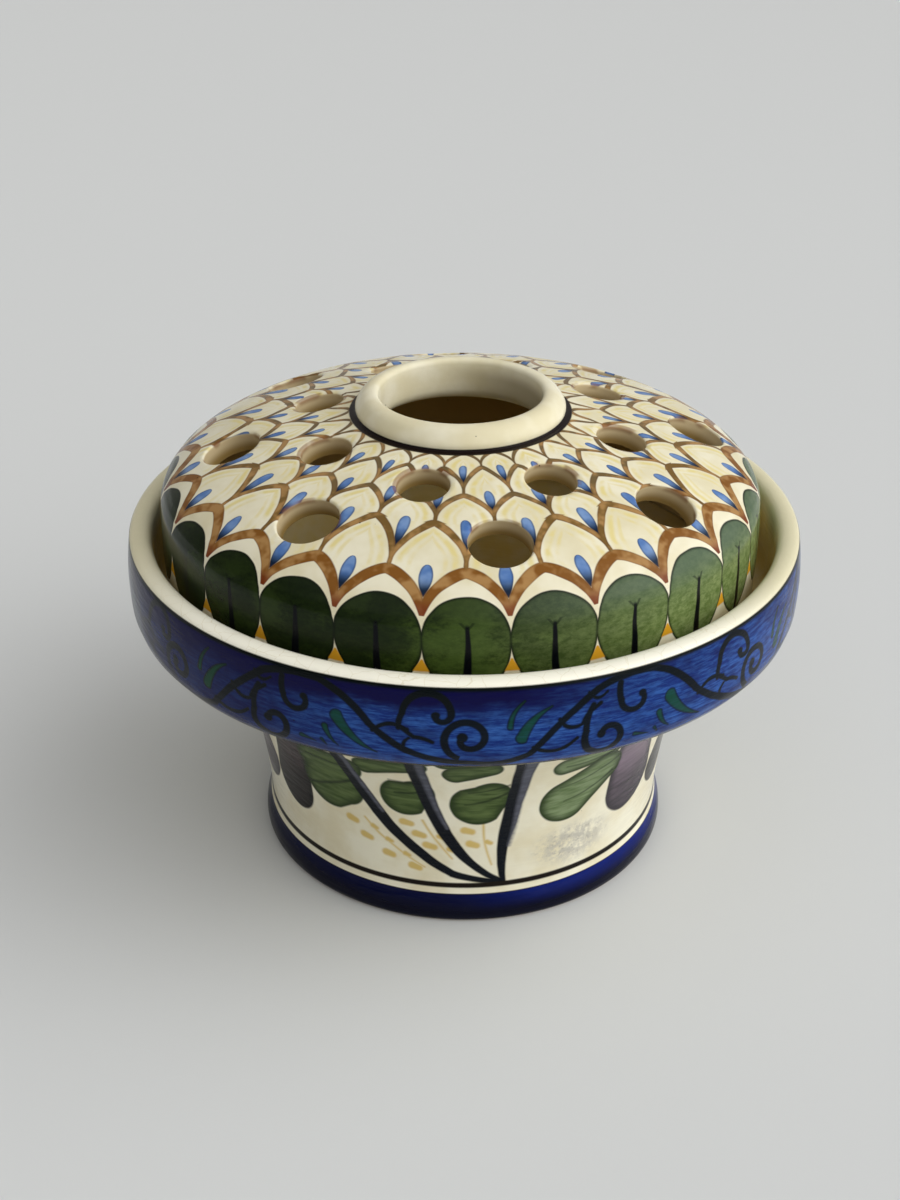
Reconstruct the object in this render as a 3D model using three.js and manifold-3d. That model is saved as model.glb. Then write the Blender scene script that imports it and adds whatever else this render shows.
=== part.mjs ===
// Glazed earthenware jardiniere: a footed bowl with an upright band, and a pierced flower-holder lid.
// Millimetres, +Z up. The origin is on the vertical axis of the bowl, on the plane that its foot ring
// rests on.
import * as THREE from 'three';
import { mergeVertices } from 'three/addons/utils/BufferGeometryUtils.js';
import Module from 'manifold-3d';

const wasm = await Module();
wasm.setup();

// Both pieces are thrown on a wheel, so each is one profile turned about its own axis.
const TURN_STEPS = 56;
const CURVE_STEPS = 2;
const DOME_STEPS = 11;
const INNER_DOME_STEPS = 8;

// Foot of the bowl
const FOOT_REST_INNER_R = 53.4;
const FOOT_REST_OUTER_R = 59.2;
const FOOT_RECESS_R = 50.5;
const FOOT_RECESS_HEIGHT = 4.0;
const FOOT_BASE_R = 61.2;
const FOOT_BASE_Z = 2.2;
const FOOT_WAIST_R = 59.2;
const FOOT_WAIST_Z = 13.5;
const FLARE_R = 64.2;
const FLARE_Z = 46.0;
const UNDERSIDE_R = 77.5;
const UNDERSIDE_Z = 68.6;

// Upright band and rim of the bowl
const BAND_R = 96.2;
const BAND_WIDEST_Z = 89.2;
const BAND_UNDERSIDE_Z = 73.2;
const RIM_TOP_Z = 101.0;
const RIM_OUTER_R = 95.2;
const RIM_INNER_R = 88.9;

// Inside of the bowl: a shoulder that carries the lid, and a water well down into the hollow foot
const SHOULDER_Z = 78.0;
const SHOULDER_OUTER_R = 86.2;
const SHOULDER_INNER_R = 73.0;
const WELL_FLOOR_Z = 10.8;
const WELL_FLOOR_R = 46.0;

// Lid: an upright skirt, a dome and a rolled collar
const SEAT_GAP = 0.3;
const LID_SEAT_Z = SHOULDER_Z + SEAT_GAP;
const LID_OFFSET_X = -1.1;
const LID_R = 84.8;
const LID_WALL = 6.0;
const SKIRT_WIDEST_Z = 96.0;
const DOME_SPRING_Z = 106.1;
const DOME_RISE = 30.5;
const DOME_POWER = 0.38;
const INNER_DOME_SPRING_Z = 104.0;
const INNER_DOME_RISE = 26.6;
const INNER_DOME_TOP_R = 34.0;
const COLLAR_FOOT_R = 30.4;
const COLLAR_R = 29.5;
const COLLAR_TOP_Z = 137.8;
const COLLAR_TOP_R = 24.6;
const MOUTH_R = 22.8;
const MOUTH_FOOT_Z = 126.4;

// Stem holes: two staggered rings, each hole punched square to the dome
const RING_HOLES = 8;
const OUTER_RING = { ringR: 66.0, holeR: 8.2, firstAngle: 6.9 };
const INNER_RING = { ringR: 43.8, holeR: 6.9, firstAngle: 29.9 };
const RING_CENTRE = new THREE.Vector2(1.9, -0.5);
const HOLE_STEPS = 16;
const PUNCH_LENGTH = 24;
const SLOPE_STEP = 0.1;
// The hole of the outer ring that faces front was punched a little high and to the right
const STRAY_HOLE = 6;
const STRAY = new THREE.Vector2(0.4, 1.5);

// Height of a dome of the given radius, spring line and rise, at distance r from its axis.
function domeHeight(r, radius, springZ, rise) {
  return springZ + rise * (1 - r / radius) ** DOME_POWER;
}

// Points of a dome's profile, from its spring line up to distance topR from the axis.
function domePoints(radius, springZ, rise, topR, steps) {
  const lastTurn = Math.asin(Math.sqrt(topR / radius));
  return Array.from({ length: steps }, (_, i) => {
    const turn = THREE.MathUtils.lerp(Math.PI / 2, lastTurn, (i + 1) / steps);
    const r = radius * Math.sin(turn) ** 2;
    return new THREE.Vector2(r, domeHeight(r, radius, springZ, rise));
  });
}

// A profile of (radius, height) points turned about the Z axis.
function turned(points) {
  const geometry = new THREE.LatheGeometry(points, TURN_STEPS);
  geometry.rotateX(Math.PI / 2);
  return geometry;
}

// Geometry to solid and back, for the stem holes.
function toSolid(geometry) {
  geometry.deleteAttribute('normal');
  geometry.deleteAttribute('uv');
  const merged = mergeVertices(geometry, 1e-4);
  const vertProperties = new Float32Array(merged.attributes.position.array);
  const triVerts = new Uint32Array(merged.index.array);
  return new wasm.Manifold(new wasm.Mesh({ numProp: 3, vertProperties, triVerts }));
}

function toGeometry(solid) {
  const mesh = solid.getMesh();
  const geometry = new THREE.BufferGeometry();
  geometry.setAttribute('position', new THREE.BufferAttribute(new Float32Array(mesh.vertProperties), 3));
  geometry.setIndex(new THREE.BufferAttribute(new Uint32Array(mesh.triVerts), 1));
  geometry.computeVertexNormals();
  return geometry;
}

// Bowl: from the axis under the foot, up the outside, over the rim and down the inside to the axis.
// Each stretch is one curve, from where the last one ended past its control point to its own end.
function bowlPoints() {
  const path = new THREE.Path();
  // Recess under the foot and the ring it rests on
  path.moveTo(0, FOOT_RECESS_HEIGHT);
  path.lineTo(FOOT_RECESS_R, FOOT_RECESS_HEIGHT);
  path.quadraticCurveTo(FOOT_REST_INNER_R - 0.6, FOOT_RECESS_HEIGHT, FOOT_REST_INNER_R, 0);
  path.lineTo(FOOT_REST_OUTER_R, 0);
  // Rolled base moulding, drawn in to the waist
  path.quadraticCurveTo(FOOT_BASE_R, 0, FOOT_BASE_R, FOOT_BASE_Z);
  path.quadraticCurveTo(FOOT_BASE_R, 5.5, 60.1, 7.6);
  path.quadraticCurveTo(FOOT_WAIST_R, 9.8, FOOT_WAIST_R, FOOT_WAIST_Z);
  // Foot, flaring into the underside
  path.quadraticCurveTo(59.4, 18.0, 60.3, 25.0);
  path.quadraticCurveTo(61.8, 37.0, FLARE_R, FLARE_Z);
  path.quadraticCurveTo(68.6, 62.0, UNDERSIDE_R, UNDERSIDE_Z);
  path.quadraticCurveTo(81.8, 72.2, 87.4, BAND_UNDERSIDE_Z);
  // Upright band and the rounded rim
  path.quadraticCurveTo(94.9, 74.4, 95.9, 81.0);
  path.quadraticCurveTo(BAND_R, 84.0, BAND_R, BAND_WIDEST_Z);
  path.quadraticCurveTo(96.1, 94.5, RIM_OUTER_R, RIM_TOP_Z - 1.4);
  path.quadraticCurveTo(RIM_OUTER_R - 0.4, RIM_TOP_Z, 92.2, RIM_TOP_Z);
  path.quadraticCurveTo(RIM_INNER_R + 0.4, RIM_TOP_Z, RIM_INNER_R, RIM_TOP_Z - 2.4);
  // Inner wall and the shoulder that carries the lid
  path.lineTo(RIM_INNER_R - 0.3, SHOULDER_Z + 6.0);
  path.quadraticCurveTo(RIM_INNER_R - 0.3, SHOULDER_Z + 0.4, SHOULDER_OUTER_R, SHOULDER_Z);
  path.lineTo(SHOULDER_INNER_R, SHOULDER_Z);
  // Water well
  path.quadraticCurveTo(68.2, SHOULDER_Z - 0.6, 65.2, 70.0);
  path.quadraticCurveTo(59.6, 54.0, 56.4, 38.0);
  path.quadraticCurveTo(54.6, 27.0, 53.2, 18.6);
  path.quadraticCurveTo(52.2, WELL_FLOOR_Z + 0.4, WELL_FLOOR_R, WELL_FLOOR_Z);
  path.lineTo(0, WELL_FLOOR_Z);
  return path.getPoints(CURVE_STEPS);
}

// Lid: a closed loop from the seat up the outside, over the collar, down the mouth and back along the inside.
function lidPoints() {
  const innerR = LID_R - LID_WALL;
  const seatInnerR = innerR + 0.9;
  // Skirt
  const skirt = new THREE.Path();
  skirt.moveTo(seatInnerR, LID_SEAT_Z);
  skirt.lineTo(LID_R - 2.0, LID_SEAT_Z);
  skirt.quadraticCurveTo(LID_R - 0.6, LID_SEAT_Z, LID_R - 0.5, LID_SEAT_Z + 2.1);
  skirt.lineTo(LID_R + 0.1, SKIRT_WIDEST_Z);
  skirt.lineTo(LID_R, DOME_SPRING_Z - 2.5);
  // Rolled collar and the mouth through it
  const collar = new THREE.Path();
  collar.moveTo(COLLAR_R - 0.3, COLLAR_TOP_Z - 5.5);
  collar.quadraticCurveTo(COLLAR_R + 0.2, COLLAR_TOP_Z - 3.9, COLLAR_R - 1.0, COLLAR_TOP_Z - 2.5);
  collar.quadraticCurveTo(COLLAR_R - 2.3, COLLAR_TOP_Z - 0.1, COLLAR_TOP_R, COLLAR_TOP_Z);
  collar.quadraticCurveTo(MOUTH_R + 0.1, COLLAR_TOP_Z, MOUTH_R, COLLAR_TOP_Z - 1.4);
  collar.lineTo(MOUTH_R - 0.2, MOUTH_FOOT_Z + 2.4);
  collar.quadraticCurveTo(MOUTH_R, MOUTH_FOOT_Z, MOUTH_R + 2.6, MOUTH_FOOT_Z - 1.2);
  return [
    ...skirt.getPoints(CURVE_STEPS),
    ...domePoints(LID_R, DOME_SPRING_Z, DOME_RISE, COLLAR_FOOT_R, DOME_STEPS),
    ...collar.getPoints(CURVE_STEPS),
    ...domePoints(innerR, INNER_DOME_SPRING_Z, INNER_DOME_RISE, INNER_DOME_TOP_R, INNER_DOME_STEPS).reverse(),
    new THREE.Vector2(innerR, INNER_DOME_SPRING_Z - 2),
    new THREE.Vector2(innerR, LID_SEAT_Z + 1.4),
    new THREE.Vector2(seatInnerR, LID_SEAT_Z),
  ];
}

// One round punch, square to the dome where the hole's centre lies.
function punch(ring, index) {
  const angle = THREE.MathUtils.degToRad(ring.firstAngle) + (index * 2 * Math.PI) / RING_HOLES;
  const direction = new THREE.Vector2(Math.cos(angle), Math.sin(angle));
  const centre = direction.multiplyScalar(ring.ringR).add(RING_CENTRE);
  if (ring === OUTER_RING && index === STRAY_HOLE) centre.add(STRAY);
  const r = centre.length();
  const height = domeHeight(r, LID_R, DOME_SPRING_Z, DOME_RISE);
  const slope = (domeHeight(r + SLOPE_STEP, LID_R, DOME_SPRING_Z, DOME_RISE) - height) / SLOPE_STEP;
  const normal = new THREE.Vector3((-slope * centre.x) / r, (-slope * centre.y) / r, 1).normalize();
  const cylinder = new THREE.CylinderGeometry(ring.holeR, ring.holeR, PUNCH_LENGTH, HOLE_STEPS);
  cylinder.applyQuaternion(new THREE.Quaternion().setFromUnitVectors(new THREE.Vector3(0, 1, 0), normal));
  cylinder.translate(centre.x, centre.y, height);
  return toSolid(cylinder);
}

function piercedLid() {
  let lid = toSolid(turned(lidPoints()));
  for (const ring of [OUTER_RING, INNER_RING]) {
    for (let i = 0; i < RING_HOLES; i += 1) lid = lid.subtract(punch(ring, i));
  }
  return toGeometry(lid);
}

function glaze(color) {
  return new THREE.MeshStandardMaterial({ color, roughness: 0.2, metalness: 0 });
}

const bowl = new THREE.Mesh(turned(bowlPoints()), glaze(0x24429c));
bowl.name = 'footed_bowl';

const lid = new THREE.Mesh(piercedLid(), glaze(0xe6dcc2));
lid.name = 'pierced_lid';
lid.position.x = LID_OFFSET_X;

const jardiniere = new THREE.Group();
jardiniere.add(bowl, lid);

export default jardiniere;
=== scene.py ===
import functools
import itertools
import math
from types import SimpleNamespace

import bpy
import numpy as np
from mathutils import Matrix, Vector


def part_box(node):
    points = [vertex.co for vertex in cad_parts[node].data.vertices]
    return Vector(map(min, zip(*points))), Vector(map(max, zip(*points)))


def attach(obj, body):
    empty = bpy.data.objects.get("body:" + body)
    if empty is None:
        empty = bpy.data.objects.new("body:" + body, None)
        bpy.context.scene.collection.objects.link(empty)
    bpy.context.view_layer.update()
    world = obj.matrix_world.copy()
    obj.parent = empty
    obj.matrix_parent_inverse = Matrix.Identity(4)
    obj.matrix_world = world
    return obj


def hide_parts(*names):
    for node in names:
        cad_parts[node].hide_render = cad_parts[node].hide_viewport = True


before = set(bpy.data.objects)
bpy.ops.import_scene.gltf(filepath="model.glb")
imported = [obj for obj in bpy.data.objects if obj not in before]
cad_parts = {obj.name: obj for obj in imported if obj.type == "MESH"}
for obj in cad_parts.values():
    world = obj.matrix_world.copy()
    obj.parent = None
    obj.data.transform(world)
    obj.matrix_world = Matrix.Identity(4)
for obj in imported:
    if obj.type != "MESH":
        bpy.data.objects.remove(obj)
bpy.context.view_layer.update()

# The bowl is photographed on a pale table from above its front, in the soft light of a room
# with its brighter side to the right. Sizes in this file are written in millimetres.
MM = 0.001
CAMERA_PLACE = Vector((-0.33, -445.3, 319.2)) * MM
CAMERA_TILT = 0.5085
CAMERA_TURN = 0.0083
CAMERA_LENS = 51.695
CAMERA_SENSOR = 36
TABLE_WIDTH = 9000 * MM
TABLE_TONE = (216, 218, 218)
TABLE_ROUGH = 0.6
TABLE_SHINE = 0.15
GROUND_TONE = (205, 205, 203)
ROOM_DIM = 0.155
ROOM_WARMTH = (1.0, 0.96, 0.89, 1.0)
LIGHT_WHITE = (1.0, 1.0, 1.0, 1.0)
WINDOW_SIDE = Vector((0.90, -0.20, 0.42))
WINDOW_EDGE = (0.50, 0.93)
WINDOW_BRIGHT = 1.7
CEILING_SIDE = Vector((0.06, -0.52, 0.85))
CEILING_EDGE = (0.40, 0.96)
CEILING_BRIGHT = 0.60
BACK_WALL_SIDE = Vector((-0.15, 0.93, 0.25))
BACK_WALL_EDGE = (0.20, 0.95)
BACK_WALL_BRIGHT = 0.22
LAMP_PLACE = Vector((2050, -500, 1500)) * MM
LAMP_SIZE = 1100 * MM
LAMP_WATTS = 7.0


def pigment(red, green, blue):
    """A colour written as it looks on a screen, 0 to 255, in the linear values that nodes take."""
    parts = (red / 255, green / 255, blue / 255)
    linear = [v / 12.92 if v <= 0.04045 else ((v + 0.055) / 1.055) ** 2.4 for v in parts]
    return (*linear, 1.0)


def new_material(name):
    """A material with an empty node tree but for its output."""
    material = bpy.data.materials.new(name)
    material.use_nodes = True
    tree = material.node_tree
    tree.nodes.clear()
    tree.nodes.new("ShaderNodeOutputMaterial")
    return material


def soft_lamp():
    """A square lamp on the window side, for a little more light from there."""
    bpy.ops.object.light_add(type="AREA", location=LAMP_PLACE)
    lamp = bpy.context.object
    lamp.name = "window_lamp"
    lamp.data.size = LAMP_SIZE
    lamp.data.energy = LAMP_WATTS
    lamp.rotation_euler = (-LAMP_PLACE).to_track_quat("-Z", "Y").to_euler()


def sign_for(operation):
    """What a sign between readings does: it adds a node with that operation."""
    return lambda *readings: reckon(operation, *readings)


class Reading:
    """What comes out of a node: a number, place, colour or light that differs from point to
    point. Numbers are added, multiplied and compared with the usual signs, one node for each."""

    __add__ = sign_for("ADD")
    __sub__ = sign_for("SUBTRACT")
    __mul__ = sign_for("MULTIPLY")
    __truediv__ = sign_for("DIVIDE")
    __mod__ = sign_for("FLOORED_MODULO")
    __pow__ = sign_for("POWER")
    __abs__ = sign_for("ABSOLUTE")
    __lt__ = sign_for("LESS_THAN")
    __gt__ = sign_for("GREATER_THAN")

    def __init__(self, socket):
        self.socket = socket

    def __rsub__(self, number):
        return reckon("SUBTRACT", number, self)


def wire(value, socket):
    """Links a socket to a reading, or else writes the value into it."""
    if isinstance(value, Reading):
        socket.id_data.links.new(value.socket, socket)
    else:
        socket.default_value = value


def add_node(kind, values, tree=None, **settings):
    """A new node with its settings, its inputs linked or set by name or by number. It goes into
    the tree that its readings run through, unless another is given."""
    if tree is None:
        tree = next(v.socket.id_data for v in values.values() if isinstance(v, Reading))
    node = tree.nodes.new("ShaderNode" + kind)
    for name, setting in settings.items():
        setattr(node, name, setting)
    for name, value in values.items():
        wire(value, node.inputs[name])
    return node


def read_node(kind, values, out=0, **settings):
    """What comes out of such a new node."""
    return Reading(add_node(kind, values, **settings).outputs[out])


def reckon(operation, *values):
    """One sum or comparison."""
    return read_node("Math", dict(enumerate(values)), operation=operation)


def reckon_vector(operation, *values, out="Vector"):
    """The same for vectors."""
    return read_node("VectorMath", dict(enumerate(values)), out, operation=operation)


def room_light(direction, middle, edge, brightness):
    """One soft bright area of the room, as a light of its own that fades out to its edge."""
    towards = reckon_vector("DOT_PRODUCT", direction, middle.normalized(), out="Value")
    limits = {"Value": towards, "From Min": edge[0], "From Max": edge[1], "To Max": brightness}
    fading = read_node("MapRange", limits, interpolation_type="SMOOTHSTEP")
    return read_node("Background", {"Color": LIGHT_WHITE, "Strength": fading})


def room_air():
    """The room: dim and warm all round, with a broad window, a pale ceiling and a pale back wall
    that shine softly. The camera sees a plain pale ground."""
    world = bpy.data.worlds.new("room")
    bpy.context.scene.world = world
    world.use_nodes = True
    tree = world.node_tree
    tree.nodes.clear()
    direction = Reading(tree.nodes.new("ShaderNodeTexCoord").outputs["Generated"])
    light = read_node("Background", {"Color": ROOM_WARMTH, "Strength": ROOM_DIM}, tree=tree)
    for bright in (
        (WINDOW_SIDE, WINDOW_EDGE, WINDOW_BRIGHT),
        (CEILING_SIDE, CEILING_EDGE, CEILING_BRIGHT),
        (BACK_WALL_SIDE, BACK_WALL_EDGE, BACK_WALL_BRIGHT),
    ):
        light = read_node("AddShader", {0: light, 1: room_light(direction, *bright)})
    ground = read_node("Background", {"Color": pigment(*GROUND_TONE)}, tree=tree)
    is_seen = Reading(tree.nodes.new("ShaderNodeLightPath").outputs["Is Camera Ray"])
    add_node("OutputWorld", {0: read_node("MixShader", {0: is_seen, 1: light, 2: ground})})


def table_top():
    """The plain pale table, wide enough to fill the picture."""
    bpy.ops.mesh.primitive_plane_add(size=TABLE_WIDTH)
    table = bpy.context.object
    table.name = "table"
    material = new_material("table_paint")
    tree = material.node_tree
    looks = {"Base Color": pigment(*TABLE_TONE), "Roughness": TABLE_ROUGH,
             "Specular IOR Level": TABLE_SHINE}
    wire(read_node("BsdfPrincipled", looks, tree=tree), tree.nodes["Material Output"].inputs[0])
    table.data.materials.append(material)


bpy.ops.object.camera_add(
    location=CAMERA_PLACE, rotation=(math.pi / 2 - CAMERA_TILT, 0, CAMERA_TURN)
)
camera = bpy.context.object
camera.data.lens = CAMERA_LENS
camera.data.sensor_width = CAMERA_SENSOR
bpy.context.scene.camera = camera
bpy.context.scene.view_settings.view_transform = "Standard"
soft_lamp()
room_air()
table_top()


# The bowl is one thrown piece of earthenware: a hollow foot that flares into an upright band,
# with a shoulder inside for the lid and a well for water. It is glazed all over but for the
# ring that it stands on.
bowl_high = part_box("footed_bowl")[1]
BAND_R = bowl_high.x / MM
RIM_Z = bowl_high.z / MM
RIM_OUTER_R = BAND_R - 1.0
RIM_INNER_R = BAND_R - 7.3
FOOT_R = 59.2
FOOT_BASE_R = 61.2
BAND_FOOT_Z = 73.2
SHOULDER_Z = 78.0
WELL_FLOOR_Z = 10.8
TURN_STEPS = 256
CURVE_STEPS = 4
POINT_MERGE = 0.001 * MM
SEAM_MERGE = 0.01 * MM
SMOOTH_BELOW = math.radians(40)
ON_AXIS = 0.01

# Each stretch of the outline: the corner that its curve bends towards, or None where it is
# straight, and where it ends, as (distance from the axis, height).
FOOT_RING = (
    (None, (50.5, 4.0)),
    ((52.8, 4.0), (53.4, 0.0)),
    (None, (FOOT_R, 0.0)),
)
BOWL_OUTSIDE = (
    ((FOOT_BASE_R, 0.0), (FOOT_BASE_R, 2.2)),
    ((FOOT_BASE_R, 5.5), (60.1, 7.6)),
    ((FOOT_R, 9.8), (FOOT_R, 13.5)),
    ((59.4, 18.0), (60.3, 25.0)),
    ((61.8, 37.0), (64.2, 46.0)),
    ((68.6, 62.0), (77.5, 68.6)),
    ((81.8, 72.2), (87.4, BAND_FOOT_Z)),
    ((94.9, 74.4), (95.9, 81.0)),
    ((BAND_R, 84.0), (BAND_R, 89.2)),
    ((96.1, 94.5), (RIM_OUTER_R, RIM_Z - 1.4)),
    ((RIM_OUTER_R - 0.4, RIM_Z), (92.2, RIM_Z)),
    ((RIM_INNER_R + 0.4, RIM_Z), (RIM_INNER_R, RIM_Z - 2.4)),
)
BOWL_INSIDE = (
    (None, (RIM_INNER_R - 0.3, SHOULDER_Z + 6.0)),
    ((RIM_INNER_R - 0.3, SHOULDER_Z + 0.4), (86.2, SHOULDER_Z)),
    (None, (73.0, SHOULDER_Z)),
    ((68.2, SHOULDER_Z - 0.6), (65.2, 70.0)),
    ((59.6, 54.0), (56.4, 38.0)),
    ((54.6, 27.0), (53.2, 18.6)),
    ((52.2, WELL_FLOOR_Z + 0.4), (46.0, WELL_FLOOR_Z)),
    (None, (0.0, WELL_FLOOR_Z)),
)


def thrown(name, start, stretches, axis_x=0.0, turn_steps=TURN_STEPS):
    """A piece thrown on the wheel: its outline as a curve, turned into a mesh about its axis."""
    bpy.ops.object.select_all(action="DESELECT")
    bpy.ops.curve.primitive_bezier_curve_add()
    piece = bpy.context.object
    piece.name = name
    piece.data.name = name
    spline = piece.data.splines[0]
    spline.bezier_points.add(len(stretches) - 1)
    spline.resolution_u = CURVE_STEPS
    places = [Vector((start[0], 0, start[1]))]
    places += [Vector((end[0], 0, end[1])) for _, end in stretches]
    for point, place in zip(spline.bezier_points, places):
        point.handle_left_type = point.handle_right_type = "FREE"
        point.co = point.handle_left = point.handle_right = place * MM
    for index, (corner, _) in enumerate(stretches):
        here, there = spline.bezier_points[index], spline.bezier_points[index + 1]
        bend = Vector((corner[0], 0, corner[1])) * MM if corner else (here.co + there.co) / 2
        here.handle_right = here.co.lerp(bend, 2 / 3)
        there.handle_left = there.co.lerp(bend, 2 / 3)
    bpy.ops.object.convert(target="MESH")
    piece.data.name = name
    bpy.ops.object.mode_set(mode="EDIT")
    bpy.ops.mesh.select_all(action="SELECT")
    bpy.ops.mesh.remove_doubles(threshold=POINT_MERGE)
    bpy.ops.mesh.spin(steps=turn_steps, angle=math.tau, center=(0, 0, 0), axis=(0, 0, 1))
    bpy.ops.mesh.select_all(action="SELECT")
    bpy.ops.mesh.remove_doubles(threshold=SEAM_MERGE)
    bpy.ops.mesh.normals_make_consistent(inside=False)
    bpy.ops.transform.translate(value=(axis_x * MM, 0, 0))
    bpy.ops.object.mode_set(mode="OBJECT")
    return piece


def outline_points(start, stretches, steps=24):
    """Points close together along an outline, as (distance from the axis, height) rows."""
    rows = [np.array([start], float)]
    turn = np.linspace(0, 1, steps + 1)[1:, None]
    for corner, end in stretches:
        first, last = rows[-1][-1], np.array(end, float)
        bend = np.array(corner, float) if corner else (first + last) / 2
        rows.append((1 - turn) ** 2 * first + 2 * turn * (1 - turn) * bend + turn**2 * last)
    return np.vstack(rows)


def vertex_places(piece, axis_x):
    """The piece's vertices, in millimetres from its axis."""
    places = np.empty(len(piece.data.vertices) * 3)
    piece.data.vertices.foreach_get("co", places)
    return places.reshape(-1, 3) / MM - (axis_x, 0, 0)


def from_axis(places):
    """How far each place is from the axis."""
    return np.hypot(places[:, 0], places[:, 1])


def turns_of(places):
    """The turn of each place about the axis, in degrees."""
    return np.degrees(np.arctan2(places[:, 1], places[:, 0]))


def steps_along(points):
    """The distance from each point of an outline to the next."""
    return np.hypot(*np.diff(points, axis=0).T)


def runs_along(points):
    """How far along an outline each of its points lies."""
    return np.concatenate([[0], np.cumsum(steps_along(points))])


def nearest_on_outline(piece, points, axis_x=0.0):
    """For each vertex, how far along the outline its nearest point lies, and how deep it is."""
    places = vertex_places(piece, axis_x)
    flat = np.column_stack([from_axis(places), places[:, 2]])
    run_start = runs_along(points)
    run, depth = np.zeros(len(flat)), np.full(len(flat), np.inf)
    for index in range(len(points) - 1):
        step = points[index + 1] - points[index]
        share = ((flat - points[index]) @ step / (step @ step)).clip(0, 1)
        gap = np.hypot(*(flat - points[index] - share[:, None] * step).T)
        nearer = gap < depth
        depth[nearer] = gap[nearer]
        run[nearer] = run_start[index] + share[nearer] * np.hypot(*step)
    return run, depth


def keep_measure(piece, name, values):
    """Stores one number for each vertex, for the glaze to read."""
    measure = piece.data.attributes.new(name, "FLOAT", "POINT")
    measure.data.foreach_set("value", values.astype(np.float32))


def face_corners(piece, axis_x=0.0):
    """For each corner of each face: its vertex, its face, its place, the middle of each face, and
    the turns about the axis of the face's middle and of the corner, in degrees. The corner's is
    counted on from the middle's, so that no face is torn at the back."""
    mesh = piece.data
    vertex = np.empty(len(mesh.loops), int)
    mesh.loops.foreach_get("vertex_index", vertex)
    sizes = np.empty(len(mesh.polygons), int)
    mesh.polygons.foreach_get("loop_total", sizes)
    face = np.repeat(np.arange(len(sizes)), sizes)
    middles = np.empty(len(sizes) * 3)
    mesh.polygons.foreach_get("center", middles)
    middles = middles.reshape(-1, 3) / MM - (axis_x, 0, 0)
    middle_turn = turns_of(middles)[face]
    corners = vertex_places(piece, axis_x)[vertex]
    turn = (turns_of(corners) - middle_turn + 180) % 360 - 180
    turn = np.where(from_axis(corners) < ON_AXIS, 0, turn) + middle_turn
    return vertex, face, corners, middles, middle_turn, turn


def face_mean(face, values):
    """For each corner, the mean of the values at all the corners of its face."""
    return (np.bincount(face, values) / np.bincount(face))[face]


def lay_out_map(piece, across, up):
    """The piece's flat map, in which its painted side has most of the room."""
    flat = piece.data.uv_layers.new(name="OFBake")
    flat.data.foreach_set("uv", np.column_stack([across, up]).astype(np.float32).ravel())


def smooth_faces():
    """Shades the selected piece smooth, but for its sharp edges."""
    bpy.ops.object.shade_smooth_by_angle(angle=SMOOTH_BELOW)


bowl_start = (0.0, 4.0)
bowl_outline = FOOT_RING + BOWL_OUTSIDE + BOWL_INSIDE
bowl = thrown("glazed_bowl", bowl_start, bowl_outline)
outside_points = outline_points((FOOT_R, 0.0), BOWL_OUTSIDE)
keep_measure(bowl, "depth", nearest_on_outline(bowl, outside_points)[1])

# The bowl's flat map: the front and the back half of its outside as two broad strips, and its
# underside and inside as one narrow strip above them
STRIP_HIGH = 0.42
STRIP_GAP = 0.012
whole_points = outline_points(bowl_start, bowl_outline)
foot_run = steps_along(outline_points(bowl_start, FOOT_RING)).sum()
rim_run = foot_run + steps_along(outside_points).sum()
hidden_length = steps_along(whole_points).sum() - rim_run + foot_run
vertex, face, _, _, middle_turn, turn = face_corners(bowl)
run = nearest_on_outline(bowl, whole_points)[0][vertex]
middle_run = face_mean(face, run)
outside = (middle_run > foot_run) & (middle_run < rim_run)
in_front = middle_turn < 0
outside_share = (run - foot_run) / (rim_run - foot_run)
outside_up = STRIP_HIGH * outside_share + np.where(in_front, 0, STRIP_HIGH + STRIP_GAP)
hidden_share = np.where(middle_run > rim_run, run - rim_run + foot_run, run) / hidden_length
hidden_low = 2 * (STRIP_HIGH + STRIP_GAP)
lay_out_map(
    bowl,
    np.where(outside, np.where(in_front, turn + 180, turn) / 180, (turn + 180) / 360),
    np.where(outside, outside_up, hidden_low + hidden_share * (1 - hidden_low)),
)
smooth_faces()


# The painter's ways of working, as shader nodes. A stroke is given by where the brush lands and
# lifts, in millimetres across the painted field and up it; its group gives the distance from
# the edge of the stroke, negative inside.
NUMBER, ARROW = "NodeSocketFloat", "NodeSocketVector"
FAR_OFF = 99.0


def times_plus(value, factor, more):
    """The value times a factor, and something added."""
    return reckon("MULTIPLY_ADD", value, factor, more)


def smaller(one, other):
    """The smaller of two values."""
    return reckon("MINIMUM", one, other)


def larger(one, other):
    """The larger of two values."""
    return reckon("MAXIMUM", one, other)


def square_root(value):
    """The square root of a value."""
    return reckon("SQRT", value)


def length_of(one, other):
    """The length of an arrow from its two parts."""
    return square_root(times_plus(one, one, other * other))


def parts_of(place):
    """The three parts of a place."""
    return [Reading(part) for part in add_node("SeparateXYZ", {0: place}).outputs]


def held(value):
    """The value, held between 0 and 1."""
    return smaller(larger(value, 0.0), 1.0)


def ramp(value, low, high, smooth=True):
    """0 where the value is at low, 1 where it is at high."""
    limits = {"Value": value, "From Min": low, "From Max": high}
    kind = "SMOOTHSTEP" if smooth else "LINEAR"
    share = read_node("MapRange", limits, clamp=False, interpolation_type=kind)
    return share if smooth else held(share)


def on_sides(degrees, spans):
    """1 past either of two turns about the axis, each given as where it begins and is full."""
    return larger(*[ramp(degrees, *span) for span in spans])


def blend_paint(share, ground, paint):
    """The ground where the share is 0, the paint where it is 1."""
    return read_node("Mix", {0: share, 6: ground, 7: paint}, out=2, data_type="RGBA")


def grain(place, size, detail=2.0, rough=0.55):
    """Uneven noise with blotches of about the given size in millimetres, as (value, colour)."""
    values = {"Vector": place, "Scale": 1 / size, "Detail": detail, "Roughness": rough}
    return [Reading(output) for output in add_node("TexNoise", values).outputs]


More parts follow.
